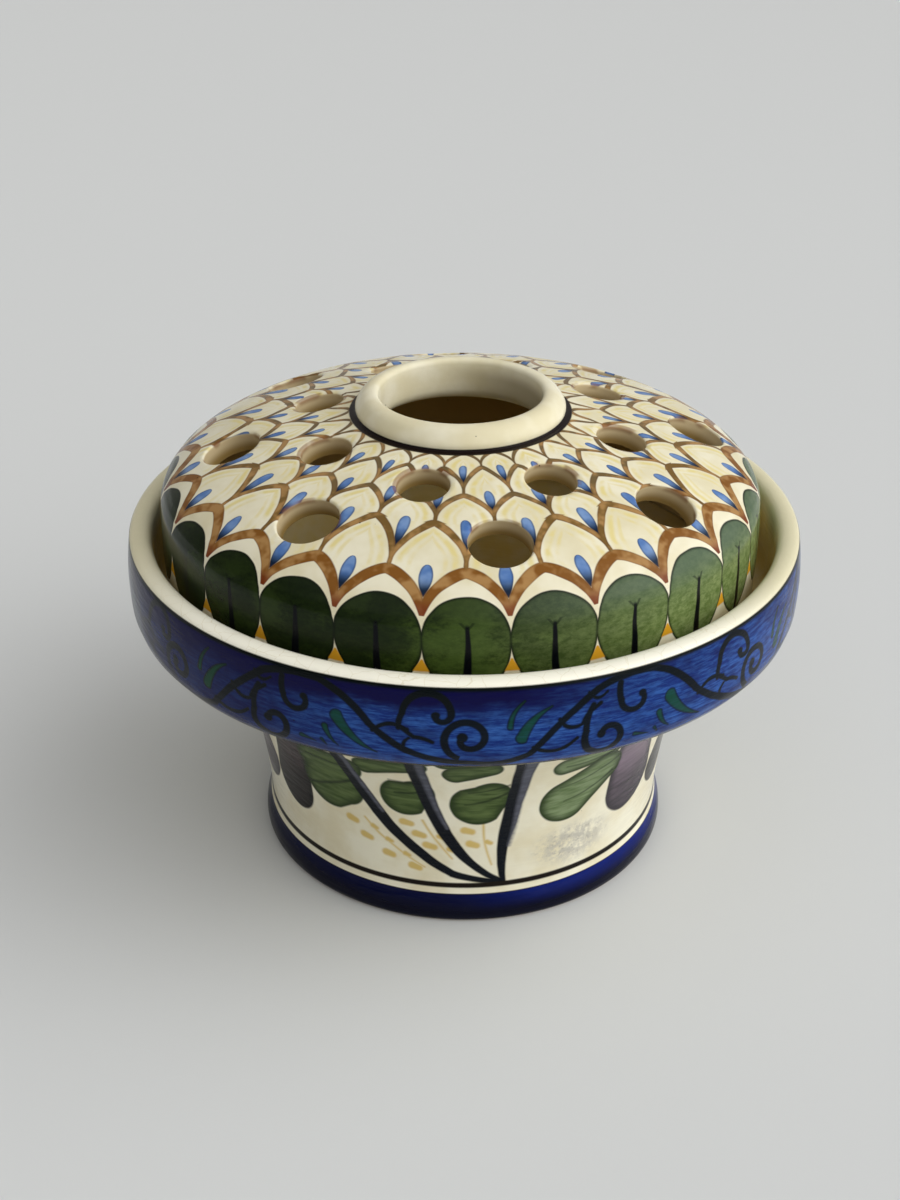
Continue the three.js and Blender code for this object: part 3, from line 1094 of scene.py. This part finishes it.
inner_r = LID_R - LID_WALL
seat_start = (inner_r + 0.9, LID_SEAT_Z)
SKIRT = [
    (None, (LID_R - 2.0, LID_SEAT_Z)),
    ((LID_R - 0.6, LID_SEAT_Z), (LID_R - 0.5, LID_SEAT_Z + 2.1)),
    (None, (LID_R + 0.1, SKIRT_WIDEST_Z)),
    (None, (LID_R, DOME_SPRING_Z - 2.5)),
]
COLLAR = [
    ((COLLAR_FOOT_R - 0.9, dome_height(COLLAR_FOOT_R)), (COLLAR_R - 0.3, COLLAR_TOP_Z - 5.5)),
    ((COLLAR_R + 0.2, COLLAR_TOP_Z - 3.9), (COLLAR_R - 1.0, COLLAR_TOP_Z - 2.5)),
    ((COLLAR_R - 2.3, COLLAR_TOP_Z - 0.1), (COLLAR_CREST_R, COLLAR_TOP_Z)),
    ((MOUTH_R + 0.1, COLLAR_TOP_Z), (MOUTH_R, COLLAR_TOP_Z - 1.4)),
    (None, (MOUTH_R - 0.2, MOUTH_FOOT_Z + 2.4)),
    ((MOUTH_R, MOUTH_FOOT_Z), (MOUTH_R + 2.6, MOUTH_FOOT_Z - 1.2)),
]
up_to_collar = SKIRT + dome_stretches(LID_R, DOME_SPRING_Z, DOME_RISE, COLLAR_FOOT_R, DOME_STEPS)
lid_outside = up_to_collar + COLLAR
inner_dome = dome_stretches(inner_r, INNER_SPRING_Z, INNER_RISE, INNER_TOP_R, INNER_STEPS)
lid_outline = [
    *lid_outside,
    *inner_dome[::-1],
    (None, (inner_r, INNER_SPRING_Z - 2.0)),
    (None, (inner_r, LID_SEAT_Z + 1.4)),
    (None, seat_start),
]
lid = thrown("glazed_lid", seat_start, lid_outline, axis_x=LID_AXIS_X)


def hole_place(ring, index):
    """Where a hole meets the dome, from the lid's axis, and the dome's normal there."""
    angle = math.radians(ring["first_angle"] + index * 360 / RING_HOLES)
    centre = RING_CENTRE + Vector((math.cos(angle), math.sin(angle))) * ring["ring_r"]
    if index == ring["stray"]:
        centre += STRAY
    r = centre.length
    slope = (dome_height(r + SLOPE_STEP) - dome_height(r)) / SLOPE_STEP
    normal = Vector((-slope * centre.x / r, -slope * centre.y / r, 1)).normalized()
    return Vector((*centre, dome_height(r))), normal


def punch(ring, index):
    """The tool for one hole: a rod with a flared shoulder that leaves the hole's edge rounded."""
    radius = ring["hole_r"]
    tool = thrown(
        f"punch_{index}",
        (0.0, -PUNCH_REACH),
        [
            (None, (radius, -PUNCH_REACH)),
            (None, (radius, -DOME_SAG - HOLE_LIP)),
            ((radius, -DOME_SAG), (radius + HOLE_LIP, -DOME_SAG)),
            (None, (radius + PUNCH_FLARE, PUNCH_FLARE_Z)),
            (None, (radius + PUNCH_FLARE, PUNCH_REACH)),
            (None, (0.0, PUNCH_REACH)),
        ],
        turn_steps=PUNCH_STEPS,
    )
    place, normal = hole_place(ring, index)
    place = (place + Vector((LID_AXIS_X, 0, 0))) * MM
    aimed = normal.to_track_quat("Z", "Y").to_matrix().to_4x4()
    tool.data.transform(Matrix.Translation(place) @ aimed)
    return tool


holes = [(ring, index) for ring in HOLE_RINGS for index in range(RING_HOLES)]
punches = [punch(*hole) for hole in holes]
bpy.ops.object.select_all(action="DESELECT")
for tool in punches:
    tool.select_set(True)
bpy.context.view_layer.objects.active = punches[0]
bpy.ops.object.join()
bpy.ops.object.select_all(action="DESELECT")
bpy.context.view_layer.objects.active = lid
lid.select_set(True)
cut = lid.modifiers.new("punched_holes", "BOOLEAN")
cut.operation = "DIFFERENCE"
cut.solver = "EXACT"
cut.object = punches[0]
bpy.ops.object.modifier_apply(modifier=cut.name)
bpy.data.objects.remove(punches[0])
smooth_faces()

# How far down the dome each point lies, from the painted ring at the foot of the collar, and
# how deep it is under the painted surface, so that no paint runs down the walls of the holes.
lid_points = outline_points(seat_start, lid_outside)
lid_run, lid_depth = nearest_on_outline(lid, lid_points, axis_x=LID_AXIS_X)
ring_points = outline_points(seat_start, up_to_collar)
ring_run = steps_along(ring_points).sum()
keep_measure(lid, "down", ring_run - lid_run)
keep_measure(lid, "depth", lid_depth)

# The lid's flat map: its outside seen from above, with the dome drawn out flat, the walls of the
# holes folded into their openings, and the inside as a small disc in one corner. Each pair of
# the rings gives how far down the dome a ring lies, and its distance from the middle of the map.
MAP_RINGS = ((-34.0, 0.03), (0.0, 0.10), (80.0, 0.47), (95.0, 0.495))
OUTSIDE_MIDDLE = 0.5
INSIDE_MIDDLE = 0.082
INSIDE_DISC = (0.012, 0.078)
WALL_FOLD = 0.085
WALL_DEEPEST = -11
LIP_DEPTH = -2
WALL_SLACK = 0.05
DOME_START = 0.1


def map_distance(down):
    """How far from the middle of the map a point on the outside is laid."""
    return np.interp(down, *zip(*MAP_RINGS))


vertex, face, corners, middles, _, turn = face_corners(lid, axis_x=LID_AXIS_X)
all_points = outline_points(seat_start, lid_outline)
outside_length = steps_along(lid_points).sum()
all_length = steps_along(all_points).sum()
run = nearest_on_outline(lid, all_points, axis_x=LID_AXIS_X)[0][vertex]
# Where the outline closes, on the seat, a face has corners at both its ends: those at its start
# are counted on from its end
furthest = np.zeros(face[-1] + 1)
np.maximum.at(furthest, face, run)
run = run + np.where(furthest[face] - run > all_length / 2, all_length, 0)
inside = face_mean(face, run) > outside_length
inside_share = (run - outside_length) / (all_length - outside_length)
inside_distance = np.interp(inside_share, (0, 1), INSIDE_DISC)
distance = np.where(inside, inside_distance, map_distance(ring_run - run))
on_dome = ring_points[:, 1] > DOME_SPRING_Z - DOME_START
dome_r = ring_points[on_dome, 0][::-1]
dome_down = (ring_run - runs_along(ring_points))[on_dome][::-1]
for ring, index in holes:
    place, normal = (np.array(part) for part in hole_place(ring, index))
    deep = (middles - place) @ normal
    out = np.linalg.norm(middles - place - deep[:, None] * normal, axis=1)
    wall_r = ring["hole_r"] + np.where(deep > LIP_DEPTH, HOLE_LIP, 0) + WALL_SLACK
    wall = ((deep > -PUNCH_REACH) & (out < wall_r))[face]
    off = corners[wall] - place
    deep = off @ normal
    fold = 1 + WALL_FOLD * deep.clip(WALL_DEEPEST, 0)
    folded = place + (off - deep[:, None] * normal) * fold[:, None]
    turn[wall] = turns_of(folded)
    distance[wall] = map_distance(np.interp(from_axis(folded), dome_r, dome_down))
    inside[wall] = False
map_middle = np.where(inside, INSIDE_MIDDLE, OUTSIDE_MIDDLE)
lay_out_map(
    lid,
    map_middle + distance * np.cos(np.radians(turn)) * np.where(inside, -1, 1),
    map_middle + distance * np.sin(np.radians(turn)),
)

# The painted border and the scales. Each row of scales has its heads between the tips of the
# row above; the rows' heads are this far down the dome, from the outermost row inwards.
SCALES_ROUND = 24
SCALE_TURN = 360 / SCALES_ROUND
HALF_TURN = SCALE_TURN / 2
FIRST_SCALE = -81.3
BORDER_TIP = 57.6
SCALE_HEADS = (45.5, 28.8, 17.8, 6.3, 0.0)
SCALE_HIGH = 9.0
BORDER_HIGH = 12.1
ROW_HIGH = 11.2
FIRST_ROW_MORE = 5.5
HIGH_ROWS_MORE = -4.9
BORDER_ROW_MORE = 0.9
HEAD_SHARE = 0.78
SCALE_POINT = 1.25
BORDER_POINT = 1.4
ARCH_ROUND = 1.8
# The rows sag at the lid's two sides, and crowd together to the right of its front
ROW_SAG = 4.4
SAG_TURN = math.radians(100)
SAG_START = (0.0, 8.0)
ROW_CROWDING = 2.4
CROWDED_TURNS = (-42.0, 0.0)
SPREAD_TURNS = (30.0, 150.0)
# In the scales: crescents by their distance inside, half width and strength; the drop's span
# below the scale's head, and its half width; the half width of the brown line
CRESCENTS = ((2.6, 1.5, 0.85), (5.6, 1.3, 0.55))
DROP_SPAN = (0.85, 1.62)
DROP_HALF = 1.7
LINE_HALF = 1.4
LINE_HALF_LEAST = 0.55
BORDER_LINE_MORE = 0.35
# The leaves of the border, their veins and the berries between them, by distance down the dome
LEAF_CENTRE = 63.6
LEAF_HALF_HIGH = 11.6
LEAF_HALF_LOW = 15.0
LEAF_HALF_WIDE = 11.35
# The turns in degrees over which the leaves grow paler to the right, partly a paler wash and partly
# painted light and sheen, and darker to the left, a painted shade
THIN_LIT_LEAF_TURNS = ((-96.0, -40.0), (120.0, 60.0))
SHADED_LEAF_TURNS = (-94.0, -106.0)
VEIN_START = (58.8, 60.0)
VEIN_WIDENS = (59.0, 73.0)
FORK_FOOT = 60.6
FORK_MIDDLE = 59.6
FORK_LEAN = 0.85
BERRY_HALF = 2.0
BERRY_SPAN = (68.4, 72.2)
BERRY_START = (68.4, 69.0)
BERRY_END = (72.6, 72.0)
# The collar's ring, the depths at which the walls of the holes begin and end, and the mouth
RING_UP = 0.5
RING_EDGE = (1.4, 0.95)
WALL_DEPTHS = (0.35, 0.8)
STAIN_DEPTHS = ((0.02, 0.2), (2.2, 0.8))
INNER_LID_DEPTHS = (2.0, 5.0)
MOUTH_RADII = (24.0, 22.9)
MOUTH_HEIGHTS = (136.6, 132.0)
MOUTH_SHADE_ACROSS = (-10.0, 16.0)
LID_CREAM = pigment(236, 230, 205)
LID_CREAM_SHADE = pigment(223, 214, 180)
BORDER_BROWN = pigment(128, 82, 30)
BORDER_BROWN_PALE = pigment(176, 136, 84)
BORDER_BROWN_DARK = pigment(88, 54, 24)
SCALE_BROWN = pigment(118, 90, 46)
RED_BROWN = pigment(112, 44, 20)
SCALE_YELLOW = pigment(224, 208, 136)
DROP_BLUE = pigment(76, 114, 174)
DROP_PALE = pigment(122, 152, 196)
HIGH_BROWN = pigment(110, 92, 60)
DROP_DARK = pigment(14, 32, 54)
RING_BLACK = pigment(20, 8, 8)
BORDER_LEAF = pigment(28, 42, 12)
BORDER_LEAF_PALE = pigment(62, 80, 30)
BORDER_LEAF_BRIGHT = pigment(70, 90, 37)
BORDER_LEAF_DARK = pigment(12, 22, 8)
THIN_LIT_LEAF = pigment(90, 110, 56)
THIN_LIT_LEAF_PALE = pigment(132, 148, 94)
LEAF_TOP_SHEEN = pigment(84, 104, 88)
VEIN_BLUE = pigment(4, 6, 12)
BERRY_GOLD = pigment(218, 160, 40)
HOLE_WALL_SHADE = pigment(200, 181, 142)
HOLE_STAIN = pigment(122, 72, 38)
MOUTH_SHADE = pigment(112, 94, 52)
INNER_LID_SHADE = pigment(158, 131, 78)


def make_scale_arch():
    """Group: distance from a pointed arch, given as shares of its half width and its height."""
    group, at, result = new_group(
        "scale_arch",
        {"Side": NUMBER, "Rise": NUMBER, "Wide": NUMBER, "High": NUMBER, "Point": NUMBER},
        {"Distance": NUMBER},
    )
    side_part = at["Side"] ** at["Point"]
    rise_part = at["Rise"] ** ARCH_ROUND
    over = side_part + rise_part - 1.0
    slope_x = side_part / at["Side"] * at["Point"] / at["Wide"]
    slope_y = rise_part / at["Rise"] * ARCH_ROUND / at["High"]
    wire(over / length_of(slope_x, slope_y), result["Distance"])
    return group


scale_arch = make_scale_arch()


def lay_out_scales(degrees, down, radius, strayed):
    """Which row and which scale each point is in, and how far it lies from the scale's edges."""
    mm_per_degree = radius * math.radians(1)
    turn = degrees + strayed / mm_per_degree - FIRST_SCALE
    turn = times_plus(ramp(degrees, *CROWDED_TURNS), ROW_CROWDING, turn)
    turn = times_plus(ramp(degrees, *SPREAD_TURNS), -ROW_CROWDING, turn)
    odd = reckon("PINGPONG", turn, HALF_TURN) / HALF_TURN
    half_wide = mm_per_degree * HALF_TURN

    # The rows hang lower on the lid's two sides than at its front and back
    swing = abs(reckon("SINE", times_plus(degrees, math.radians(1), SAG_TURN))) ** 2.0
    swing = swing * ramp(down, BORDER_TIP, 0.0, smooth=False)
    swing = swing * ramp(down, *SAG_START)
    row_down = times_plus(swing, -ROW_SAG, down)

    # Rows count up towards the collar: -1 at the border's tips, 0 at the border's crests
    row = ramp(row_down, BORDER_TIP, SCALE_HEADS[0], smooth=False) - 1.0
    for low, high in zip(SCALE_HEADS, SCALE_HEADS[1:]):
        row = row + ramp(row_down, low, high, smooth=False)
    number = reckon("CEIL", row)
    parity = number % 2.0
    side = abs(odd - (1.0 - parity))
    rise = row - number + 1.0

    # Height of the row that the point is in, and how far up it the point lies
    border = number < 0.5
    first_row = reckon("COMPARE", number, 1.0, 0.1)
    high_rows = number > 3.5
    row_high = times_plus(first_row, FIRST_ROW_MORE, ROW_HIGH)
    row_high = times_plus(high_rows, HIGH_ROWS_MORE, row_high)
    row_high = times_plus(border, BORDER_ROW_MORE, row_high)
    up_row = rise * row_high

    # Distance from the head of the point's own row, negative inside, and from the crest of the
    # next row out, which the point lies above. A scale's head rises to a soft point from short
    # upright sides, and the border's arches run right out to their tips.
    head_high = row_high * times_plus(border, 1 - HEAD_SHARE, HEAD_SHARE)
    next_high = times_plus(first_row, BORDER_HIGH - SCALE_HIGH, SCALE_HIGH)
    own_rise = larger((up_row - row_high) / head_high + 1.0, 0.001)
    next_rise = up_row / next_high + 1.0
    own_point = times_plus(border, BORDER_POINT - SCALE_POINT, SCALE_POINT)
    next_point = times_plus(first_row, BORDER_POINT - SCALE_POINT, SCALE_POINT)
    own = {"Side": side, "Rise": own_rise, "High": head_high, "Point": own_point}
    arch = placed_group(scale_arch, Wide=half_wide, **own)["Distance"]
    beyond = {"Side": 1.0 - side, "Rise": next_rise, "High": next_high, "Point": next_point}
    crest = placed_group(scale_arch, Wide=half_wide, **beyond)["Distance"]

    # Which scale the point is in, and where in it: aside of its middle, and below its head
    above = arch > 0.0
    scale_row = number + above
    aside = abs(side - above) * half_wide
    below = scale_row - row
    return SimpleNamespace(
        odd=odd, half_wide=half_wide, row=row, number=number, side=side, border=border,
        first_row=first_row, own_rise=own_rise, arch=arch, crest=crest, above=above,
        scale_row=scale_row, aside=aside, below=below,
    )


def depth_in_scale(scales):
    """How far a point lies inside the head of its scale."""
    from_side = scales.side * scales.half_wide
    from_head = (from_side - scales.arch) * scales.above
    depth = from_head - smaller(scales.arch, 0.0)
    return larger(depth, from_side * scales.above)


def paint_crescents(ground, scales, depth, blotches):
    """Two soft yellow crescents that follow the head of each scale."""
    yellow = None
    for middle, half, strength in CRESCENTS:
        crescent = ramp(abs(depth - middle), half, 0.2) * strength
        yellow = crescent if yellow is None else larger(yellow, crescent)
    yellow = yellow * ramp(blotches, 0.3, 0.62) * ramp(scales.below, 1.35, 0.8)
    return blend_paint(yellow, ground, SCALE_YELLOW)


def paint_drops(ground, scales, blotches):
    """A blue drop near the tip of each scale, round above and drawn out to a dark point below."""
    share = ramp(scales.below, *DROP_SPAN, smooth=False)
    left_over = 1.0 - share
    full = square_root(share) * left_over
    size = times_plus(scales.scale_row, -0.15 * DROP_HALF, 1.2 * DROP_HALF) * -2.6
    drop = times_plus(full, size, scales.aside)
    paint = blend_paint(ramp(blotches, 0.3, 0.7), DROP_BLUE, DROP_PALE)
    paint = blend_paint(ramp(share, 0.35, 0.8), paint, DROP_DARK)
    paint = blend_paint(ramp(drop, -0.7, 0.0) * 0.55, paint, DROP_DARK)
    there = ramp(drop, 0.2, -0.15) * ramp(full, 0.0, 0.06)
    there = there * (scales.scale_row < 4.5)
    return blend_paint(there, ground, paint)


def paint_scale_lines(ground, cream, scales, down, blotches):
    """The brown line round the scales, broad on the border row and fine by the collar."""
    border, number = scales.border, scales.number
    half = larger(times_plus(number, -0.2, LINE_HALF), LINE_HALF_LEAST)
    half = times_plus(border, BORDER_LINE_MORE, half)
    full = times_plus(scales.own_rise, 0.5, 0.5)
    border_full = times_plus(square_root(scales.own_rise), 0.78, 0.22) - full
    full = times_plus(border, border_full, full)
    own_half = half * full
    own_edge = abs(scales.arch) - own_half
    next_half = half + times_plus(scales.first_row, BORDER_LINE_MORE, 0.2)
    next_edge = times_plus(border, FAR_OFF, scales.crest - next_half)
    edge = smaller(own_edge, next_edge)
    is_next = own_edge > next_edge
    on_border = number - is_next < 0.5
    on_high = ramp(scales.row, 0.8, 2.2)
    brown = blend_paint(on_border, SCALE_BROWN, BORDER_BROWN)
    brown = blend_paint(on_high, brown, HIGH_BROWN)
    brown = blend_paint(ramp(blotches, 0.42, 0.62) * 0.8, brown, BORDER_BROWN_PALE)
    brown = blend_paint(ramp(edge, -0.6, 0.0) * 0.4, brown, BORDER_BROWN_DARK)
    brown = blend_paint(ramp(scales.row, -0.58, -0.92) * 0.85, brown, RED_BROWN)
    ground = blend_paint(border * ramp(scales.arch, 0.0, -0.3), ground, cream)
    ground = blend_paint(ramp(edge, 0.22, -0.18), ground, brown)
    return blend_paint(ramp(down, BORDER_TIP - 0.3, BORDER_TIP), ground, cream)


def paint_leaves(ground, place, degrees, down, scales):
    """The round leaves side by side under the border, each with a vein, and berries between
    them. The marks of the brush come back too."""
    from_vein = (1.0 - scales.odd) * scales.half_wide
    from_berry = scales.odd * scales.half_wide
    low_half = down > LEAF_CENTRE
    half_high = times_plus(low_half, LEAF_HALF_LOW - LEAF_HALF_HIGH, LEAF_HALF_HIGH)
    up = (down - LEAF_CENTRE) / half_high
    edge = (length_of(from_vein / LEAF_HALF_WIDE, up) - 1.0) * LEAF_HALF_WIDE
    brush = brush_marks(place, 1.3, drawn=0.55, detail=4.0, rough=0.75)
    wash = brush_marks(place, 9.0, drawn=0.6, detail=1.0)
    load = ramp(brush, 0.30, 0.72)
    leaf = blend_paint(load, BORDER_LEAF, BORDER_LEAF_PALE)
    leaf = blend_paint(ramp(wash, 0.46, 0.62) * 0.65, leaf, BORDER_LEAF)
    leaf = blend_paint(ramp(wash, 0.50, 0.36) * 0.6, leaf, BORDER_LEAF_BRIGHT)
    # Painted light: towards the right the leaves are paler, partly a paler wash and partly painted
    # light and sheen, and their tops carry a painted grey sheen
    thin_and_lit_leaf = blend_paint(load, THIN_LIT_LEAF, THIN_LIT_LEAF_PALE)
    from_left, from_right = THIN_LIT_LEAF_TURNS
    thin_and_lit = ramp(degrees, *from_left) * ramp(degrees, *from_right)
    leaf = blend_paint(thin_and_lit * 0.85, leaf, thin_and_lit_leaf)
    # Painted shade: towards the left the leaves are darkened
    leaf = blend_paint(ramp(degrees, *SHADED_LEAF_TURNS) * 0.55, leaf, BORDER_LEAF_DARK)
    top = ramp(up, 0.0, -0.8)
    leaf = blend_paint(top * 0.45, leaf, BORDER_LEAF_DARK)
    leaf = blend_paint(top * thin_and_lit * 0.55, leaf, LEAF_TOP_SHEEN)
    ground = paint_on(ground, leaf, edge, edge=BORDER_LEAF_DARK, edge_width=1.0)

    vein_half = times_plus(ramp(down, *VEIN_WIDENS, smooth=False), 0.6, 0.4)
    vein = ramp(from_vein - vein_half, 0.3, -0.2) * ramp(down, *VEIN_START)
    vein = vein * ramp(edge, 0.1, -0.1)
    ground = blend_paint(vein, ground, VEIN_BLUE)
    fork = ramp(abs(from_vein - (FORK_FOOT - down) * FORK_LEAN), 0.6, 0.2)
    fork = fork * ramp(abs(down - FORK_MIDDLE), 1.1, 0.8)
    ground = blend_paint(fork * 0.6, ground, BORDER_LEAF_DARK)
    berry = from_berry - ramp(down, *BERRY_SPAN, smooth=False) * BERRY_HALF
    berry = ramp(berry, 0.25, -0.15) * ramp(down, *BERRY_END) * ramp(down, *BERRY_START)
    return blend_paint(berry, ground, BERRY_GOLD), brush


def colour_holes(tree, ground, place):
    """The walls of the holes in a painted shade of the cream, with brown stains at their edges, and
    the inside of the lid in a darker, browner painted shade.
    """
    colour = blend_paint(ramp(kept_measure(tree, "depth"), *WALL_DEPTHS), ground, HOLE_WALL_SHADE)
    stain_and_shade, _ = grain(place, 7.0, detail=1.0)
    stain_and_shade = ramp(stain_and_shade, 0.50, 0.62)
    for depths in STAIN_DEPTHS:
        stain_and_shade = stain_and_shade * ramp(kept_measure(tree, "depth"), *depths)
    colour = blend_paint(stain_and_shade * 0.6, colour, HOLE_STAIN)
    return blend_paint(ramp(kept_measure(tree, "depth"), *INNER_LID_DEPTHS), colour, INNER_LID_SHADE)


def lid_glaze():
    """The lid's painted glaze, from the collar down."""
    material = new_material("lid_glaze")
    tree = material.node_tree
    place, (across, back, height), degrees = measured_place(tree, axis_x=LID_AXIS_X)
    flaws = placed_group(glaze_flaws, Place=place)
    shift = placed_group(hand_wobble, Place=place, Amount=2.2)["Shift"]
    stray_across, stray_down, _ = parts_of(shift)
    down = kept_measure(tree, "down") + stray_down
    radius = length_of(across, back)
    scales = lay_out_scales(degrees, down, radius, stray_across)
    cream = blend_paint(flaws["Pooling"], LID_CREAM, LID_CREAM_SHADE)
    depth = depth_in_scale(scales)
    blotches, _ = grain(place, 5.0)
    ground = paint_crescents(cream, scales, depth, blotches)
    ground = paint_drops(ground, scales, blotches)
    ground = paint_scale_lines(ground, cream, scales, down, blotches)
    ground, brush = paint_leaves(ground, place, degrees, down, scales)
    ground = blend_paint(ramp(down, 0.5, -0.1), ground, cream)
    ring = abs(kept_measure(tree, "down") + RING_UP)
    ground = blend_paint(ramp(ring, *RING_EDGE), ground, RING_BLACK)
    colour = colour_holes(tree, ground, place)
    # Painted shade: the mouth is painted browner inside, mostly on its right, where it lies in
    # shade
    in_mouth = ramp(radius, *MOUTH_RADII) * ramp(height, *MOUTH_HEIGHTS)
    stain_and_shade = in_mouth * ramp(across, *MOUTH_SHADE_ACROSS)
    colour = blend_paint(stain_and_shade * 0.6, colour, MOUTH_SHADE)
    fire_glaze(tree, colour, flaws, brush)
    return material


lid.data.materials.append(lid_glaze())
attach(lid, "lid")
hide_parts("pierced_lid")
